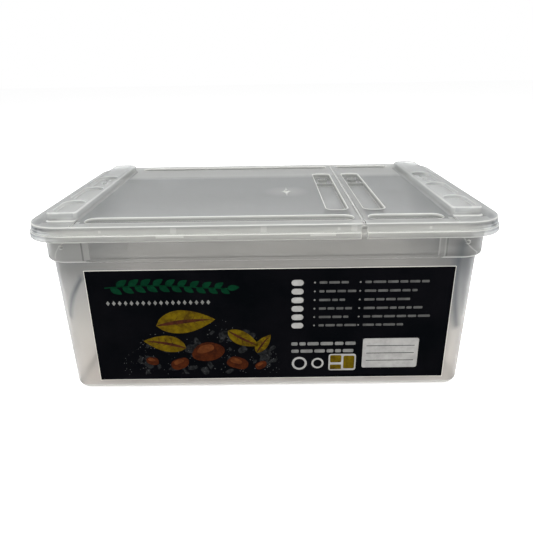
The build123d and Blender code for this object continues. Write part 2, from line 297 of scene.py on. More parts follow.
# Sticker on the sloping front wall: its slope is that of the wall, 1.45 mm over 48.9 mm
WALL_SLOPE = math.atan2(1.45, 48.9)
LABEL_THICKNESS = 0.15 * MM
LABEL_COLUMNS = 60
LABEL_ROWS = 24
LABEL_BORDER = 0.16 * MM
CORNER_LIFT = 0.12 * MM
CORNER_REACH = 5.0 * MM
PAPER_SCALE = 900.0
PAPER_COLOURS = ((0.66, 0.64, 0.58), (0.78, 0.77, 0.71))
PAPER_ROUGH = (0.45, 0.65)

# Inks: how thick one is and how deep it sinks, how it shines, how far its shades change, the fine dots of
# the print, and for each ink its two shades, the scale of the change between them and its roughness
INK_THICKNESS = 0.02 * MM
INK_SUNK = 0.5 * INK_THICKNESS
INK_SPECULAR = 0.008
INK_CHANGE = 0.9
DOT_SCALE = 3600.0
DOT_SHADE = 0.1
DOT_ROUGH = 0.04
INKS = {
    "black": ((0.0008, 0.0012, 0.0018), (0.0026, 0.0026, 0.0036), 60.0, 0.42),
    "green": ((0.001, 0.019, 0.008), (0.002, 0.030, 0.012), 400.0, 0.38),
    "amber": ((0.125, 0.085, 0.003), (0.045, 0.026, 0.003), 420.0, 0.38),
    "umber": ((0.055, 0.016, 0.008), (0.022, 0.008, 0.005), 700.0, 0.38),
    "rust": ((0.055, 0.013, 0.004), (0.022, 0.006, 0.003), 520.0, 0.38),
    "rust_pale": ((0.105, 0.032, 0.010), (0.055, 0.015, 0.005), 700.0, 0.38),
    "stone": ((0.005, 0.0055, 0.006), (0.022, 0.023, 0.024), 900.0, 0.38),
    "fleck": ((0.025, 0.026, 0.027), (0.10, 0.10, 0.098), 900.0, 0.38),
    "grey": ((0.065, 0.065, 0.063), (0.10, 0.10, 0.097), 400.0, 0.38),
    "mid": ((0.15, 0.15, 0.145), (0.21, 0.21, 0.20), 400.0, 0.38),
    "pale": ((0.31, 0.305, 0.295), (0.39, 0.385, 0.37), 400.0, 0.38),
}

# Seed of the print's random draws, and the distance under which two points are one
PRINT_SEED = 7
SAME_POINT = 1e-7

# The layout of the print is in millimetres from the sticker's lower left corner, and its turns in degrees.

# Sprig: where its stem starts, how far it runs and waves, and its leaves, which get smaller along it
STEM_START = (6.0, 35.6)
STEM_LENGTH = 40.0
STEM_STEPS = 20
STEM_WAVE = 0.7
STEM_WAVE_ANGLE = 4.5
STEM_HALF = 0.20
SPRIG_LEAF = (4.3, 2.3)
SPRIG_SHRINK = (0.05, 0.02)
SPRIG_TURN = 42
SPRIG_CURL = 0.12
SPRIG_TIP = (4.0, 2.1)
SPRIG_TIP_TURN = 6

# Row of lozenges
LOZENGES = 18
LOZENGE_START = (6.4, 30.0)
LOZENGE_STEP = 1.95
LOZENGE_HALF = (0.62, 0.9)

# Heaps of dark stones and of grey grit. A heap's ridge is its base, its rise, its start, its length and the
# power that fills it out.
STONES = {"count": 46, "span": (14.0, 61.0), "foot": 2.6, "ridge": (6.0, 17.0, 10.0, 55.0, 0.7),
          "sizes": (1.6, 4.6), "flatness": (0.5, 0.8), "steps": 16, "uneven": 0.12}
GRIT = {"count": 230, "span": (9.0, 63.0), "foot": 2.2, "ridge": (5.0, 20.0, 7.0, 58.0, 0.8),
        "sizes": (0.14, 0.48), "flatness": (0.4, 0.9), "steps": 7, "uneven": 0.2}

# Amber leaves, each with its stalk end, length, width, turn and curl. A leaf's breadth follows a sine, which
# the first power moves towards the stalk and the second fills out. Its midrib and its veins are shares of it.
LEAF_SHIFT = 0.8
LEAF_FULLNESS = 0.85
AMBER_LEAVES = [
    (21.5, 21.4, 20.0, 8.8, 12.0, -0.10),
    (31.0, 12.6, 14.5, 6.4, 160.0, 0.14),
    (45.5, 19.2, 12.0, 5.4, -36.0, 0.10),
    (55.0, 10.4, 8.6, 4.0, 62.0, -0.12),
]
MIDRIB = (0.94, 0.16)
VEIN_PAIRS = 4
VEIN_START = 0.16
VEIN_STEP = 0.15
VEIN_LENGTH = 0.40
VEIN_WIDTH = 0.16
VEIN_TURN = 48

# Pebbles, each with its middle, its sizes and its turn, and the paler place on each as shares of its sizes
PEBBLES = [
    (38.4, 11.0, 11.2, 7.4, 16.0),
    (48.4, 6.4, 7.4, 5.0, -18.0),
    (28.4, 6.4, 6.6, 4.4, 22.0),
    (19.0, 7.6, 4.4, 3.2, -8.0),
    (56.4, 5.4, 4.2, 3.0, 30.0),
]
LIGHT_SHIFT = (-0.07, 0.17)
LIGHT_SIZE = (0.56, 0.40)
LIGHT_STEPS = 18
LIGHT_UNEVEN = 0.08

# Ruled rows: a tag at the left, then columns with their start, least and greatest length, each after a dot
ROWS = 6
ROW_TOP = 36.6
ROW_STEP = 3.16
TAG = (66.9, 4.0, 2.1)
COLUMNS = [(76.0, 8.2, 10.6), (90.8, 11.5, 20.0)]
DOT_SIZE = 0.62
DOT_GAP = 1.5
DOT_STEPS = 10

# Broken lines, each with its pieces' least and greatest length, its thickness and its gap
DASH_ROUNDING = 0.6
RULE = ((1.6, 4.2), 0.85, 0.55)
BOLD = ((1.9, 4.4), 1.25, 0.6)
BOLD_SPAN = (66.9, 88.5)
BOLD_HEIGHTS = (13.7, 10.8)

# Rings, each with its middle and its outer and inner diameter, then plain bars as the function bar has them
RING_STEPS = 30
RINGS = [(69.7, 5.9, 5.2, 3.7), (76.0, 5.9, 4.2, 2.9)]
BADGE_FRAME = (79.8, 6.2, 9.4, 6.6, 0.25)
AMBER_PATCH = [(80.3, 7.6, 3.9, 2.9, 0.3), (80.3, 4.3, 3.9, 1.9, 0.3), (84.9, 6.2, 3.8, 5.2, 0.2)]
WRITE_BOX = (91.3, 9.7, 19.0, 11.6, 0.12)
WRITE_LINE = (92.6, 12.6, 16.4, 0.22)
WRITE_LINES = 3
WRITE_STEP = 2.9


def set_up_camera():
    """The photograph's camera, with its axes worked out from pitch, yaw and roll."""
    forward = Vector((
        math.sin(CAMERA_YAW) * math.cos(CAMERA_PITCH),
        math.cos(CAMERA_YAW) * math.cos(CAMERA_PITCH),
        -math.sin(CAMERA_PITCH),
    ))
    level = Vector((math.cos(CAMERA_YAW), -math.sin(CAMERA_YAW), 0.0))
    upright = level.cross(forward)
    right = math.cos(CAMERA_ROLL) * level + math.sin(CAMERA_ROLL) * upright
    up = math.cos(CAMERA_ROLL) * upright - math.sin(CAMERA_ROLL) * level
    data = bpy.data.cameras.new("camera")
    data.sensor_fit = "HORIZONTAL"
    data.sensor_width = SENSOR_WIDTH
    data.lens = FOCAL_PIXELS / IMAGE_SIDE * SENSOR_WIDTH
    data.clip_start, data.clip_end = CAMERA_CLIP
    camera = bpy.data.objects.new("camera", data)
    turn = Matrix((right, up, -forward)).transposed().to_4x4()
    camera.matrix_world = Matrix.Translation(CAMERA_PLACE) @ turn
    bpy.context.scene.collection.objects.link(camera)
    bpy.context.scene.camera = camera


class Nodes:
    """A short way to add shader nodes to one material or world. A value may be a number or a socket."""

    def __init__(self, tree):
        self.tree = tree

    def add(self, kind, **values):
        node = self.tree.nodes.new(kind)
        for name, value in values.items():
            key = name.replace("_", " ")
            if key in node.inputs:
                self.put(value, node.inputs[key])
            else:
                setattr(node, name, value)
        return node

    def put(self, value, target):
        """Links a socket to the target, or sets the target to a number or a colour."""
        if isinstance(value, bpy.types.NodeSocket):
            self.tree.links.new(value, target)
        elif isinstance(value, tuple) and target.type == "RGBA":
            target.default_value = (*value, 1.0)
        else:
            target.default_value = value

    def math(self, operation, first, second=0.0):
        node = self.add("ShaderNodeMath", operation=operation)
        self.put(first, node.inputs[0])
        self.put(second, node.inputs[1])
        return node.outputs[0]

    def product(self, first, *others):
        """All the values multiplied."""
        for value in others:
            first = self.math("MULTIPLY", first, value)
        return first

    def strongest(self, *values):
        """The greatest of the values, and at least 0."""
        greatest = 0.0
        for value in values:
            greatest = self.math("MAXIMUM", greatest, value)
        return greatest

    def rest(self, value):
        """What a share leaves of 1."""
        return self.math("SUBTRACT", 1.0, value)

    def apart(self, value, middle=0.0):
        """How far a value lies from a middle, to either side."""
        return self.math("ABSOLUTE", self.math("SUBTRACT", value, middle))

    def ramp(self, value, low, high, start=0.0, end=1.0):
        """A number that runs from low to high while the value runs from start to end."""
        node = self.add("ShaderNodeMapRange", From_Min=start, From_Max=end, To_Min=low, To_Max=high)
        self.put(value, node.inputs["Value"])
        return node.outputs["Result"]

    def mix(self, factor, first, second):
        """A colour between two, by a factor."""
        node = self.add("ShaderNodeMix", data_type="RGBA")
        self.put(factor, node.inputs["Factor"])
        colours = [socket for socket in node.inputs if socket.type == "RGBA"]
        self.put(first, colours[0])
        self.put(second, colours[1])
        return next(socket for socket in node.outputs if socket.type == "RGBA")

    def place(self, stretch=(1.0, 1.0, 1.0)):
        """Place on the object at rest, in metres, each way times its stretch."""
        coordinates = self.add("ShaderNodeTexCoord")
        mapping = self.add("ShaderNodeMapping", Scale=stretch)
        self.put(coordinates.outputs["Object"], mapping.inputs["Vector"])
        return mapping.outputs["Vector"]

    def noise(self, scale, detail=3.0, rough=0.5, stretch=(1.0, 1.0, 1.0)):
        node = self.add("ShaderNodeTexNoise", Scale=scale, Detail=detail, Roughness=rough)
        self.put(self.place(stretch), node.inputs["Vector"])
        return node.outputs["Fac"]

    def axes(self):
        """The three coordinates of a place on the object at rest."""
        parts = self.add("ShaderNodeSeparateXYZ")
        self.put(self.place(), parts.inputs[0])
        return parts.outputs["X"], parts.outputs["Y"], parts.outputs["Z"]

    def within(self, value, low, high, soft=SOFT_END):
        """1 where the value lies between low and high, 0 beyond a soft change at both ends."""
        rise = self.ramp(value, 0.0, 1.0, low - soft, low)
        return self.product(rise, self.ramp(value, 1.0, 0.0, high, high + soft))

    def box_of(self, *spans):
        """1 inside a box, given as a value and its two limits for each way."""
        return self.product(1.0, *[self.within(value, low, high) for value, low, high in spans])

    def rounded(self, x, y, centre, half, corner):
        """1 inside a rectangle with round corners."""
        past = []
        for value, middle, size in ((x, centre[0], half[0]), (y, centre[1], half[1])):
            past.append(self.math("SUBTRACT", self.apart(value, middle), size - corner))
        squares = []
        for value in past:
            beyond = self.math("MAXIMUM", value, 0.0)
            squares.append(self.product(beyond, beyond))
        outside = self.math("SQRT", self.math("ADD", *squares))
        inside = self.math("MINIMUM", self.math("MAXIMUM", *past), 0.0)
        distance = self.math("ADD", outside, inside)
        return self.ramp(distance, 1.0, 0.0, corner - SOFT_CORNER, corner + SOFT_CORNER)

    def uprightness(self):
        """1 on upright faces, 0 on level ones."""
        coordinates = self.add("ShaderNodeTexCoord")
        parts = self.add("ShaderNodeSeparateXYZ")
        self.put(coordinates.outputs["Normal"], parts.inputs[0])
        return self.rest(self.product(parts.outputs["Z"], parts.outputs["Z"]))

    def bump(self, height, strength, distance):
        node = self.add("ShaderNodeBump", Strength=strength, Distance=distance)
        self.put(height, node.inputs["Height"])
        return node.outputs["Normal"]

    def edges(self):
        """1 on the roundings between level and upright faces and close beside an edge, 0 on flat faces."""
        upright = self.uprightness()
        rounding = self.ramp(self.product(upright, self.rest(upright)), 0.0, 1.0, *EDGE_SLANT)
        bevel = self.add("ShaderNodeBevel", samples=EDGE_SAMPLES, Radius=EDGE_REACH)
        geometry = self.add("ShaderNodeNewGeometry")
        likeness = self.add("ShaderNodeVectorMath", operation="DOT_PRODUCT")
        self.put(bevel.outputs["Normal"], likeness.inputs[0])
        self.put(geometry.outputs["Normal"], likeness.inputs[1])
        beside = self.ramp(self.math("ABSOLUTE", likeness.outputs["Value"]), 1.0, 0.0, *EDGE_LIKENESS)
        return self.math("MAXIMUM", rounding, beside)


def new_material(name):
    """A fresh material, its node helper and its Principled shader."""
    material = bpy.data.materials.new(name)
    material.use_nodes = True
    nodes = Nodes(material.node_tree)
    return material, nodes, material.node_tree.nodes["Principled BSDF"]


def spots(nodes, places):
    """Places of the front and rear walls with painted light."""
    x, y, z = nodes.axes()
    marks = [nodes.product(nodes.box_of((x, *across), (z, *up)), white) for across, up, white in places]
    return nodes.product(nodes.strongest(*marks), nodes.ramp(nodes.apart(y), 0.0, 1.0, *WALL_Y))


def front_lines(nodes, lines):
    """Soft bent lines on the tub's front wall, each between its two ends."""
    x, y, z = nodes.axes()
    marks = []
    for top, bottom, half_width, strength in lines:
        # The share of the way down times what is left of it is greatest half way, at a quarter
        share = nodes.ramp(z, 0.0, 1.0, top[1], bottom[1])
        bend = nodes.ramp(nodes.product(share, nodes.rest(share)), 0.0, LINE_BEND, 0.0, 0.25)
        line = nodes.math("SUBTRACT", nodes.ramp(share, top[0], bottom[0]), bend)
        mark = nodes.ramp(nodes.apart(x, line), strength, 0.0, 0.0, half_width)
        marks.append(nodes.product(mark, nodes.within(z, bottom[1], top[1], LINE_FADE)))
    front = nodes.ramp(y, 1.0, 0.0, -WALL_Y[0], -WALL_Y[0] + MM)
    return nodes.product(nodes.strongest(*marks), front)


def tub_painted_light(nodes, edge):
    """The tub's painted light: edges, gussets and rim, the ends of its grip recess and its band's corners."""
    return nodes.strongest(edge, spots(nodes, TUB_SPOTS), front_lines(nodes, BAND_SLANTS))


def shaded_tub(nodes):
    """The tub's darker streaks, of which the broad one on the right is painted shade."""
    return front_lines(nodes, DARK_STREAKS)


def recess_lip(nodes, x, y, outline, half_breadth):
    """1 on the lip along a recess's outline, half its breadth to each side."""
    centre, half, corner = outline
    wider = (half[0] + half_breadth[0], half[1] + half_breadth[1])
    narrower = (half[0] - half_breadth[0], half[1] - half_breadth[1])
    outer = nodes.rounded(x, y, centre, wider, corner + half_breadth[0])
    return nodes.math("SUBTRACT", outer, nodes.rounded(x, y, centre, narrower, corner - half_breadth[1]))


def gate_mark(nodes, x, y):
    """A star in a haze round the lid's gate."""
    aside = nodes.math("DIVIDE", nodes.apart(x, GATE_PLACE[0]), GATE_STAR[0])
    along = nodes.math("DIVIDE", nodes.apart(y, GATE_PLACE[1]), GATE_STAR[1])
    arms = nodes.ramp(nodes.product(aside, along), 1.0, 0.0, 0.0, GATE_THINNESS)
    reach = nodes.ramp(nodes.math("MAXIMUM", aside, along), 1.0, 0.0, GATE_FULL, 1.0)
    distance = nodes.add("ShaderNodeVectorMath", operation="DISTANCE")
    nodes.put(nodes.place(), distance.inputs[0])
    distance.inputs[1].default_value = GATE_PLACE
    haze = nodes.ramp(distance.outputs["Value"], GATE_HAZE, 0.0, 0.0, GATE_RADIUS)
    return nodes.math("MAXIMUM", nodes.product(arms, reach), haze)


def skirt_corner(nodes, across, along):
    """1 in the rounded corners of the skirt and the lip, 0 along their straight sides."""
    return nodes.product(nodes.ramp(across, 0.0, 1.0, *CORNER_X), nodes.ramp(along, 0.0, 1.0, *CORNER_Y))


def clear_edges(nodes, x, y, z, corner):
    """Where the lid's edges lose painted highlights: the rails' feet, rear and cells, the fold and the
    corners.
    """
    across = nodes.apart(x)
    along = nodes.apart(y)
    feet = nodes.box_of((across, *RAIL_FOOT_X), (along, 0.0, RAIL_FOOT_Y), (z, *RAIL_FOOT_Z))
    fold = nodes.box_of((nodes.apart(x, FOLD_X), 0.0, FOLD_STRIP), (along, 0.0, MARGIN_Y[0]))
    on_rail = nodes.ramp(z, 0.0, 1.0, RAIL_FADE_Z - SOFT_END, RAIL_FADE_Z)
    rear = nodes.product(nodes.ramp(y, *RAIL_FADE, *RAIL_FADE_Y), on_rail)
    cells = nodes.product(nodes.box_of((across, *CELL_X), (z, *CELL_Z)), CELL_FADE)
    below = nodes.product(corner, nodes.within(z, 0.0, SKIRT_Z[1]), CORNER_EDGE_FADE)
    return nodes.strongest(feet, fold, rear, cells, below)


def white_top(nodes, x, y, z):
    """Top face: the gate's mark, and painted light on the recesses' lips, the rear, the fold and the margin.
    """
    across = nodes.apart(x)
    along = nodes.apart(y)
    off_fold = nodes.apart(x, FOLD_X)
    lips = [recess_lip(nodes, x, along, channel, LIP_HALF) for channel in CHANNELS]
    lips.append(recess_lip(nodes, off_fold, y, PAD, PAD_LIP_HALF))
    rear = nodes.ramp(y, 0.0, REAR_PAINTED_WHITE, *REAR_LIGHT_Y)
    fold = nodes.ramp(off_fold, FOLD_PAINTED_WHITE, 0.0, *FOLD_LIGHT_X)
    ends = nodes.ramp(across, 0.0, MARGIN_END_WHITE, *MARGIN_X)
    sides = nodes.ramp(along, 0.0, MARGIN_WHITE, *MARGIN_Y)
    corners = nodes.box_of((across, RAIL_FOOT_X[0], MARGIN_X[1]), (y, -MARGIN_X[0], RAIL_FRONT_Y))
    corners = nodes.product(corners, MARGIN_WHITE)
    white = nodes.strongest(*lips, gate_mark(nodes, x, y), rear, fold, ends, sides, corners)
    return nodes.product(white, nodes.within(z, *TOP_Z))


def white_rails(nodes, across, along, y, z):
    """Painted light on the lid's rails, on their tops and their inner sides."""
    rearward = nodes.ramp(y, 1.0, RAIL_REAR_WHITE, *RAIL_FADE_Y)
    top = nodes.product(nodes.ramp(z, 0.0, RAIL_WHITE, *RAIL_Z), rearward)
    side = nodes.box_of((across, *RAIL_FOOT_X), (along, 0.0, RAIL_FOOT_Y), (z, *RAIL_SIDE_Z))
    return nodes.math("MAXIMUM", top, nodes.product(side, RAIL_SIDE_WHITE))


def lid_painted_light_and_gate(nodes, edge):
    """Painted light, and the gate's mark, on the lid: edges, recess walls, top face, skirt, rails and spots.
    """
    x, y, z = nodes.axes()
    across = nodes.apart(x)
    along = nodes.apart(y)
    corner = skirt_corner(nodes, across, along)
    edge = nodes.product(edge, nodes.rest(clear_edges(nodes, x, y, z, corner)))
    in_recess = nodes.box_of((across, 0.0, RECESS_X), (along, 0.0, RECESS_Y), (z, *RECESS_Z))
    wall = nodes.product(nodes.ramp(nodes.uprightness(), 0.0, WALL_WHITE, *WALL_UPRIGHT), in_recess)
    skirt = nodes.strongest(nodes.ramp(across, 0.0, SKIRT_WHITE, *SKIRT_X),
                            nodes.ramp(along, 0.0, SKIRT_WHITE, *SKIRT_Y))
    skirt = nodes.product(skirt, nodes.within(z, *SKIRT_Z), nodes.ramp(corner, 1.0, CORNER_WHITE))
    rails = white_rails(nodes, across, along, y, z)
    return nodes.strongest(edge, wall, white_top(nodes, x, y, z), skirt, rails, spots(nodes, LID_SPOTS))


def shaded_lid(nodes):
    """The lid's painted shade: the recesses' floors, the lip's ends, the rails' cells and the streaks."""
    x, y, z = nodes.axes()
    across = nodes.apart(x)
    along = nodes.apart(y)
    floors = nodes.box_of((across, 0.0, RECESS_X), (along, 0.0, RECESS_Y), (z, *RECESS_FLOOR_Z))
    ends = nodes.product(nodes.ramp(across, 0.0, LIP_END_SHADE, *CORNER_X), nodes.within(z, 0.0, SKIRT_Z[0]))
    cells = nodes.box_of((across, *CELL_X), (z, *CELL_Z))
    cells = nodes.product(cells, nodes.ramp(across, CELL_SHADE, 0.0, *CELL_X))
    streaks = nodes.strongest(*[nodes.within(z, *span, STREAK_SOFT) for span in CORNER_STREAKS])
    streaks = nodes.product(streaks, skirt_corner(nodes, across, along), STREAK_SHADE)
    return nodes.strongest(nodes.product(floors, RECESS_FLOOR_SHADE), ends, cells, streaks)


def moulded_plastic(name, bands, going_straight, painted_light_and_marks, shading):
    """Translucent polypropylene, with flow clouds, fine wear, and painted light and shade in its tint and
    edges.

    Each band is the height where it starts and the tint that it has from there, from the lowest up.
    Some of the light goes straight through, the rest through hazy, bending plastic.
    """
    material, nodes, shader = new_material(name)
    height = nodes.axes()[2]
    # Tint by height, partly the plastic's grey and partly painted light and shade
    tint = bands[0][1]
    for (start, _), (end, colour) in zip(bands, bands[1:]):
        tint = nodes.mix(nodes.ramp(height, 0.0, 1.0, start, end), tint, colour)
    clouds = nodes.noise(CLOUD_SCALE, detail=4.0, stretch=CLOUD_STRETCH)
    tint = nodes.mix(nodes.ramp(clouds, 0.0, CLOUD_WHITE, *NOISE_MIDDLE), tint, CREAM)
    # Painted shade: nearer to the shade colour at a slant, and at the marks that the shading gives
    slant = nodes.add("ShaderNodeLayerWeight", Blend=0.5)
    depth = nodes.ramp(slant.outputs["Facing"], 0.0, SLANT_PAINTED_SHADE, *SLANT_FACING)
    tint = nodes.mix(nodes.math("MAXIMUM", depth, shading(nodes)), tint, PAINTED_SHADE)
    # Painted highlights and painted light: cream colour and less clearness where the masks are white
    white = painted_light_and_marks(nodes, nodes.edges())
    tint = nodes.mix(nodes.product(white, CREAM_SHARE), tint, CREAM)
    nodes.put(tint, shader.inputs["Base Color"])
    milk = nodes.product(white, CLEARNESS * MILK_SHARE)
    nodes.put(nodes.math("SUBTRACT", CLEARNESS, milk), shader.inputs["Transmission Weight"])
    grain = nodes.noise(GRAIN_SCALE, detail=2.0)
    rubbed = nodes.ramp(nodes.noise(RUB_SCALE, detail=6.0, rough=0.7), 0.0, RUB_ROUGH, *RUB_MIDDLE)
    wear = nodes.math("ADD", rubbed, nodes.ramp(grain, 0.0, GRAIN_ROUGH))
    nodes.put(nodes.math("ADD", wear, PLASTIC_ROUGH), shader.inputs["Roughness"])
    nodes.put(nodes.bump(grain, GRAIN_BUMP, GRAIN_HEIGHT), shader.inputs["Normal"])
    shader.inputs["IOR"].default_value = PLASTIC_IOR

    # Light that goes straight through passes a wall's two faces, so each face has the tint's square root
    root = nodes.add("ShaderNodeGamma", Gamma=0.5)
    nodes.put(tint, root.inputs["Color"])
    straight = nodes.add("ShaderNodeBsdfTransparent")
    nodes.put(root.outputs[0], straight.inputs["Color"])
    both = nodes.add("ShaderNodeMixShader")
    nodes.put(nodes.product(nodes.rest(white), going_straight), both.inputs[0])
    nodes.put(shader.outputs[0], both.inputs[1])
    nodes.put(straight.outputs[0], both.inputs[2])
    nodes.put(both.outputs[0], material.node_tree.nodes["Material Output"].inputs["Surface"])
    return material


def printed_ink(name, colour, second, scale, rough):
    """Satin ink between two close shades, with the fine dots of a print."""
    material, nodes, shader = new_material(name)
    shade = nodes.ramp(nodes.noise(scale, rough=0.6), 0.0, INK_CHANGE, *NOISE_MIDDLE)
    dots = nodes.noise(DOT_SCALE, detail=1.0)
    blend = nodes.math("ADD", shade, nodes.ramp(dots, -DOT_SHADE, DOT_SHADE))
    nodes.put(nodes.mix(blend, colour, second), shader.inputs["Base Color"])
    nodes.put(nodes.ramp(dots, rough - DOT_ROUGH, rough + DOT_ROUGH), shader.inputs["Roughness"])
    shader.inputs["Specular IOR Level"].default_value = INK_SPECULAR
    return material


def seen_directly(nodes):
    """1 for rays of the camera and for those that plastic mirrors or passes on, 0 for light."""
    rays = nodes.add("ShaderNodeLightPath")
    seen = nodes.math("MAXIMUM", rays.outputs["Is Camera Ray"], rays.outputs["Is Transmission Ray"])
    return nodes.math("MAXIMUM", seen, rays.outputs["Is Glossy Ray"])


def set_up_light():
    """A white studio: a soft light over the front, one behind, two at the sides, and a pale world."""
    world = bpy.data.worlds.new("studio")
    bpy.context.scene.world = world
    world.use_nodes = True
    nodes = Nodes(world.node_tree)
    background = world.node_tree.nodes["Background"]
    nodes.put((1.0, 1.0, 1.0), background.inputs["Color"])
    nodes.put(nodes.ramp(seen_directly(nodes), WORLD_LIGHT, 1.0), background.inputs["Strength"])
    for name, place, width, depth, power in LAMPS:
        data = bpy.data.lights.new(name, "AREA")
        data.shape = "RECTANGLE"
        data.size = width
        data.size_y = depth
        data.energy = power
        lamp = bpy.data.objects.new(name, data)
        lamp.location = place
        lamp.rotation_euler = (LAMP_AIM - Vector(place)).to_track_quat("-Z", "Y").to_euler()
        bpy.context.scene.collection.objects.link(lamp)


def set_up_floor():
    """A wide floor that looks white and keeps the tub's shadow."""
    half = FLOOR_SIZE / 2
    corners = [(-half, -half, 0.0), (half, -half, 0.0), (half, half, 0.0), (-half, half, 0.0)]
    floor = add_mesh("floor", corners, [(0, 1, 2, 3)])
    floor.location.z = -FLOOR_DROP
    material, nodes, shader = new_material("floor_white")
    material.node_tree.nodes.remove(shader)
    matt = nodes.add("ShaderNodeBsdfDiffuse", Color=FLOOR_COLOUR)
    glow = nodes.add("ShaderNodeEmission", Strength=nodes.ramp(seen_directly(nodes), 0.0, FLOOR_GLOW))
    both = nodes.add("ShaderNodeAddShader")
    nodes.put(matt.outputs[0], both.inputs[0])
    nodes.put(glow.outputs[0], both.inputs[1])
    nodes.put(both.outputs[0], material.node_tree.nodes["Material Output"].inputs["Surface"])
    floor.data.materials.append(material)


def add_mesh(name, points, faces):
    """A mesh object from points and faces."""
    data = bpy.data.meshes.new(name)
    data.from_pydata([tuple(point) for point in points], [], faces)
    data.validate()
    data.update()
    piece = bpy.data.objects.new(name, data)
    bpy.context.scene.collection.objects.link(piece)
    return piece


def closed_sheet(name, rows, columns, top, bottom):
    """A closed sheet whose two faces are functions of a row's and a column's share, from 0 to 1."""
    points = []
    for face in (top, bottom):
        for i in range(rows + 1):
            points += [face(i / rows, j / columns) for j in range(columns + 1)]
    width = columns + 1
    below = (rows + 1) * width
    faces = []
    for i in range(rows):
        for j in range(columns):
            a = i * width + j
            faces.append((a, a + 1, a + width + 1, a + width))
            faces.append((below + a + width, below + a + width + 1, below + a + 1, below + a))
    rim = list(range(width))
    rim += [i * width + columns for i in range(1, rows + 1)]
    rim += [rows * width + j for j in range(columns - 1, -1, -1)]
    rim += [i * width for i in range(rows - 1, 0, -1)]
    for a, b in zip(rim, rim[1:] + rim[:1]):
        faces.append((b, a, below + a, below + b))
    return add_mesh(name, points, faces)


class Label:
    """The sticker's plane: u runs to the right from its left edge, v up the wall, and lift away from it."""

    def __init__(self):
        low, high = (Vector(corner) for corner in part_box("front_label"))
        self.up = Vector((0.0, -math.sin(WALL_SLOPE), math.cos(WALL_SLOPE)))
        self.out = Vector((0.0, -math.cos(WALL_SLOPE), -math.sin(WALL_SLOPE)))
        self.foot = Vector((low.x, high.y, low.z + LABEL_THICKNESS * math.sin(WALL_SLOPE)))
        self.width = high.x - low.x
        self.height = (high.z - self.foot.z) / math.cos(WALL_SLOPE)

    def corner_lift(self, u, v):
        """How far a point near a corner of the sticker has come off the wall."""
        aside = min(u, self.width - u)
        along = min(v, self.height - v)
        near = max(0.0, 1.0 - math.hypot(aside, along) / CORNER_REACH)
        return CORNER_LIFT * near * near

    def at(self, u, v, lift):
        """The place of a point on the sticker."""
        return self.foot + Vector((u, 0.0, 0.0)) + self.up * v + self.out * (lift + self.corner_lift(u, v))

    def face(self, lift, border=0.0):
        """A face of a sheet on the sticker, as closed_sheet needs it, with a border left free round it."""
        def place(row, column):
            u = border + (self.width - 2 * border) * column
            v = border + (self.height - 2 * border) * row
            return self.at(u, v, lift)
        return place


def bar(u, v, length, thick, rounding=1.0):
    """Outline of a bar from u on, with its middle at v. Its ends are round by a share of its thickness."""
    radius = thick / 2 * rounding
    outline = []
    for centre_u, centre_v, start in (
        (u + length - radius, v + thick / 2 - radius, 0),
        (u + radius, v + thick / 2 - radius, 90),
        (u + radius, v - thick / 2 + radius, 180),
        (u + length - radius, v - thick / 2 + radius, 270),
    ):
        for turn in (0, 30, 60, 90):
            angle = math.radians(start + turn)
            outline.append((centre_u + radius * math.cos(angle), centre_v + radius * math.sin(angle)))
    return outline


def dashes(rng, start, end, v, lengths, thick, gap):
    """Outlines of a broken line, whose pieces have random lengths."""
    outlines = []
    u = start
    while u < end:
        length = rng.uniform(*lengths)
        outlines.append(bar(u, v, length, thick, DASH_ROUNDING))
        u += length + gap
    return outlines


def turned(outline, u, v, turn):
    """An outline turned about its start and moved to u, v."""
    cosine = math.cos(turn)
    sine = math.sin(turn)
    return [(u + x * cosine - y * sine, v + x * sine + y * cosine) for x, y in outline]


def blob(u, v, width, height, turn, rng, steps=26, uneven=0.05):
    """Outline of a smooth pebble, which waves in and out by up to a share of its radius."""
    waves = [(k, rng.uniform(0, math.tau), rng.uniform(0.3, 1.0) * uneven) for k in (2, 3, 4)]
    around = []
    for step in range(steps):
        angle = math.tau * step / steps
        reach = 1 + sum(size * math.sin(k * angle + phase) for k, phase, size in waves)
        around.append((width / 2 * reach * math.cos(angle), height / 2 * reach * math.sin(angle)))
    return turned(around, u, v, turn)


def heap(rng, count, span, foot, ridge, sizes, flatness, steps, uneven):
    """Outlines of stones at random places between a foot and a ridge."""
    base, rise, start, length, fullness = ridge
    outlines = []
    for _ in range(count):
        u = rng.uniform(*span)
        v = rng.uniform(foot, base + rise * math.sin(math.pi * (u - start) / length) ** fullness)
        size = rng.uniform(*sizes)
        thick = size * rng.uniform(*flatness)
        outlines.append(blob(u, v, size, thick, rng.uniform(0, math.pi), rng, steps, uneven))
    return outlines


def leaf_sine(share):
    """The sine that a leaf's breadth follows, at a share of its length."""
    return math.sin(math.pi * share ** LEAF_SHIFT)


def leaf(u, v, length, width, turn, curl, steps=14):
    """Outline of a pointed leaf whose stalk end is at u, v."""
    upper = []
    lower = []
    for step in range(steps + 1):
        share = step / steps
        x = length * share
        y = curl * length * share * share
        half = width / 2 * leaf_sine(share) ** LEAF_FULLNESS
        upper.append((x, y + half))
        lower.append((x, y - half))
    return turned(upper + lower[::-1], u, v, turn)


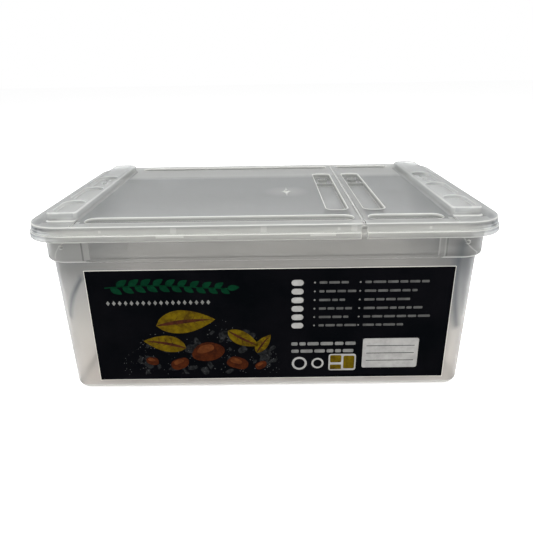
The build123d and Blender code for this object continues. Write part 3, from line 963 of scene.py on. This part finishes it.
def print_on(label, name, outlines, ink, layer):
    """Flat closed shapes of ink on the sticker, on one of its layers. The ground is layer 1."""
    mesh = bmesh.new()
    base = LABEL_THICKNESS + (layer - 1) * INK_THICKNESS
    for outline in outlines:
        top = [mesh.verts.new(label.at(u * MM, v * MM, base + INK_THICKNESS)) for u, v in outline]
        back = [mesh.verts.new(label.at(u * MM, v * MM, base - INK_SUNK)) for u, v in outline]
        mesh.faces.new(top)
        mesh.faces.new(reversed(back))
        for k in range(len(top)):
            following = (k + 1) % len(top)
            mesh.faces.new((top[following], top[k], back[k], back[following]))
    bmesh.ops.remove_doubles(mesh, verts=mesh.verts, dist=SAME_POINT)
    bmesh.ops.recalc_face_normals(mesh, faces=mesh.faces)
    data = bpy.data.meshes.new(name)
    mesh.to_mesh(data)
    mesh.free()
    piece = bpy.data.objects.new(name, data)
    bpy.context.scene.collection.objects.link(piece)
    data.materials.append(ink)
    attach(piece, "tub")


def make_sheet(label):
    """The sticker's pale sheet."""
    front = label.face(LABEL_THICKNESS)
    sheet = closed_sheet("label_sheet", LABEL_ROWS, LABEL_COLUMNS, front, label.face(0.0))
    paper, nodes, shader = new_material("label_paper")
    fibre = nodes.noise(PAPER_SCALE, detail=4.0)
    nodes.put(nodes.mix(fibre, *PAPER_COLOURS), shader.inputs["Base Color"])
    nodes.put(nodes.ramp(fibre, *PAPER_ROUGH), shader.inputs["Roughness"])
    sheet.data.materials.append(paper)
    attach(sheet, "tub")
    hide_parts("front_label")


def print_ground(label, ink):
    """The near-black ground of the print, inside the pale border."""
    top = label.face(LABEL_THICKNESS + INK_THICKNESS, LABEL_BORDER)
    back = label.face(LABEL_THICKNESS - INK_SUNK, LABEL_BORDER)
    ground = closed_sheet("label_print", LABEL_ROWS, LABEL_COLUMNS, top, back)
    ground.data.materials.append(ink)
    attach(ground, "tub")


def print_sprig(label, inks):
    """A sprig along the top left, and a row of small lozenges under it."""
    stem = []
    for k in range(STEM_STEPS + 1):
        wave = STEM_WAVE * math.sin(STEM_WAVE_ANGLE * k / STEM_STEPS)
        stem.append((STEM_START[0] + STEM_LENGTH * k / STEM_STEPS, STEM_START[1] + wave))
    sprig = [[(u, v - STEM_HALF) for u, v in stem] + [(u, v + STEM_HALF) for u, v in reversed(stem)]]
    for k, (u, v) in enumerate(stem[1:-1]):
        side = 1 if k % 2 else -1
        length, width = (size - shrink * k for size, shrink in zip(SPRIG_LEAF, SPRIG_SHRINK))
        sprig.append(leaf(u, v, length, width, side * math.radians(SPRIG_TURN), -SPRIG_CURL * side))
    sprig.append(leaf(*stem[-1], *SPRIG_TIP, math.radians(SPRIG_TIP_TURN), 0.0))
    print_on(label, "label_sprig", sprig, inks["green"], 2)
    lozenges = []
    half_u, half_v = LOZENGE_HALF
    for k in range(LOZENGES):
        u = LOZENGE_START[0] + LOZENGE_STEP * k
        v = LOZENGE_START[1]
        lozenges.append([(u - half_u, v), (u, v - half_v), (u + half_u, v), (u, v + half_v)])
    print_on(label, "label_lozenges", lozenges, inks["mid"], 2)


def print_leaves(label, inks):
    """Amber leaves, each with its midrib and its pairs of veins."""
    amber = []
    umber = []
    for u, v, length, width, turn, curl in AMBER_LEAVES:
        angle = math.radians(turn)
        amber.append(leaf(u, v, length, width, angle, curl))
        umber.append(leaf(u, v, length * MIDRIB[0], width * MIDRIB[1], angle, curl * MIDRIB[0]))
        for k in range(1, VEIN_PAIRS + 1):
            share = VEIN_START + VEIN_STEP * k
            vein_u = u + length * (share * math.cos(angle) - curl * share * share * math.sin(angle))
            vein_v = v + length * (share * math.sin(angle) + curl * share * share * math.cos(angle))
            vein = width * VEIN_LENGTH * leaf_sine(share)
            for side in (-1, 1):
                heading = angle + side * math.radians(VEIN_TURN)
                umber.append(leaf(vein_u, vein_v, vein, VEIN_WIDTH, heading, 0.0, steps=4))
    print_on(label, "label_leaves", amber, inks["amber"], 4)
    print_on(label, "label_veins", umber, inks["umber"], 5)


def print_pebbles(label, inks, rng):
    """Rust-brown pebbles, each with a paler place."""
    pebbles = []
    lights = []
    for u, v, width, height, turn in PEBBLES:
        angle = math.radians(turn)
        pebbles.append(blob(u, v, width, height, angle, rng))
        middle = (u + LIGHT_SHIFT[0] * width, v + LIGHT_SHIFT[1] * height)
        size = (width * LIGHT_SIZE[0], height * LIGHT_SIZE[1])
        lights.append(blob(*middle, *size, angle, rng, LIGHT_STEPS, LIGHT_UNEVEN))
    print_on(label, "label_pebbles", pebbles, inks["rust"], 6)
    print_on(label, "label_pebble_lights", lights, inks["rust_pale"], 7)


def print_rows(label, inks, rng):
    """Ruled rows with plain tags, columns of broken lines and a dot before each line."""
    tags = []
    rules = []
    dots = []
    for row in range(ROWS):
        v = ROW_TOP - ROW_STEP * row
        tags.append(bar(TAG[0], v, TAG[1], TAG[2]))
        for start, shortest, longest in COLUMNS:
            dots.append(blob(start - DOT_GAP, v, DOT_SIZE, DOT_SIZE, 0.0, rng, DOT_STEPS, 0.0))
            rules += dashes(rng, start, start + rng.uniform(shortest, longest), v, *RULE)
    print_on(label, "label_tags", tags, inks["pale"], 2)
    print_on(label, "label_rules", rules, inks["grey"], 2)
    print_on(label, "label_dots", dots, inks["mid"], 2)


def print_badges(label, inks, rng):
    """Two short bold lines, two rings, an amber patch in a frame, and a pale box to write on."""
    bold = []
    for v in BOLD_HEIGHTS:
        bold += dashes(rng, *BOLD_SPAN, v, *BOLD)
    print_on(label, "label_bold_lines", bold, inks["mid"], 2)
    badges = [blob(u, v, outer, outer, 0.0, rng, RING_STEPS, 0.0) for u, v, outer, _ in RINGS]
    badges.append(bar(*BADGE_FRAME))
    print_on(label, "label_badges", badges, inks["pale"], 2)
    hollows = [blob(u, v, inner, inner, 0.0, rng, RING_STEPS, 0.0) for u, v, _, inner in RINGS]
    print_on(label, "label_badge_hollows", hollows, inks["black"], 3)
    print_on(label, "label_amber_patch", [bar(*patch) for patch in AMBER_PATCH], inks["amber"], 3)
    print_on(label, "label_write_box", [bar(*WRITE_BOX)], inks["pale"], 2)
    u, v, length, thick = WRITE_LINE
    lines = [bar(u, v - WRITE_STEP * k, length, thick) for k in range(WRITE_LINES)]
    print_on(label, "label_write_lines", lines, inks["stone"], 3)


def make_label():
    """The sticker: a pale sheet with a near-black print of leaves, pebbles and plain ruled lines."""
    label = Label()
    inks = {name: printed_ink("ink_" + name, *recipe) for name, recipe in INKS.items()}
    rng = random.Random(PRINT_SEED)
    make_sheet(label)
    print_ground(label, inks["black"])
    print_sprig(label, inks)
    stones = heap(rng, **STONES)
    grit = heap(rng, **GRIT)
    print_on(label, "label_stones", stones, inks["stone"], 2)
    print_on(label, "label_grit", grit, inks["fleck"], 3)
    print_leaves(label, inks)
    print_pebbles(label, inks, rng)
    print_rows(label, inks, rng)
    print_badges(label, inks, rng)


def bent_film():
    """Plastic film, whitened along its crease."""
    material, nodes, shader = new_material("bent_film")
    stress = nodes.noise(STRESS_SCALE, detail=4.0, stretch=STRESS_STRETCH)
    bend = nodes.within(nodes.axes()[0], FOLD_X - CREASE_HALF, FOLD_X + CREASE_HALF, CREASE_HALF / 2)
    crease = nodes.product(bend, nodes.ramp(stress, *CREASE_WHITE, *NOISE_MIDDLE))
    nodes.put(nodes.mix(crease, FILM_COLOUR, CREAM), shader.inputs["Base Color"])
    nodes.put(nodes.ramp(crease, FILM_CLEARNESS, CREASE_CLEARNESS), shader.inputs["Transmission Weight"])
    nodes.put(nodes.ramp(stress, *FILM_ROUGH), shader.inputs["Roughness"])
    nodes.put(nodes.bump(stress, STRESS_BUMP, STRESS_HEIGHT), shader.inputs["Normal"])
    shader.inputs["IOR"].default_value = PLASTIC_IOR
    return material


def make_hinge():
    """The film between the two lid panels, grooved along the fold."""
    low, high = (Vector(corner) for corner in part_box("living_hinge"))

    def top(row, column):
        x = low.x - HINGE_OVERLAP + (high.x - low.x + 2 * HINGE_OVERLAP) * column
        y = low.y + (high.y - low.y) * row
        return Vector((x, y, high.z - HINGE_GROOVE * math.sin(math.pi * column) ** 2))

    def bottom(row, column):
        above = top(row, column)
        return Vector((above.x, above.y, low.z))

    film = closed_sheet("hinge_film", HINGE_ROWS, HINGE_COLUMNS, top, bottom)
    film.data.materials.append(bent_film())
    for polygon in film.data.polygons:
        polygon.use_smooth = True
    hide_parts("living_hinge")
    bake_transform(film)


set_up_camera()
set_up_light()
set_up_floor()

tub_plastic = moulded_plastic("tub_plastic", TUB_TINT_SHADE_BANDS, TUB_STRAIGHT, tub_painted_light, shaded_tub)
lid_plastic = moulded_plastic("lid_plastic", LID_TINT_LIGHT_BANDS, LID_STRAIGHT, lid_painted_light_and_gate, shaded_lid)
for node, plastic in (("tub", tub_plastic), ("lid_panel", lid_plastic), ("lid_flap", lid_plastic)):
    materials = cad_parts[node].data.materials
    materials.clear()
    materials.append(plastic)
make_label()
make_hinge()

settings = bpy.context.scene
settings.view_settings.view_transform = "Standard"
settings.cycles.max_bounces = CLEAR_BOUNCES
settings.cycles.transmission_bounces = CLEAR_BOUNCES
settings.cycles.transparent_max_bounces = CLEAR_BOUNCES
settings.cycles.glossy_bounces = GLOSS_BOUNCES
settings.cycles.diffuse_bounces = MATT_BOUNCES
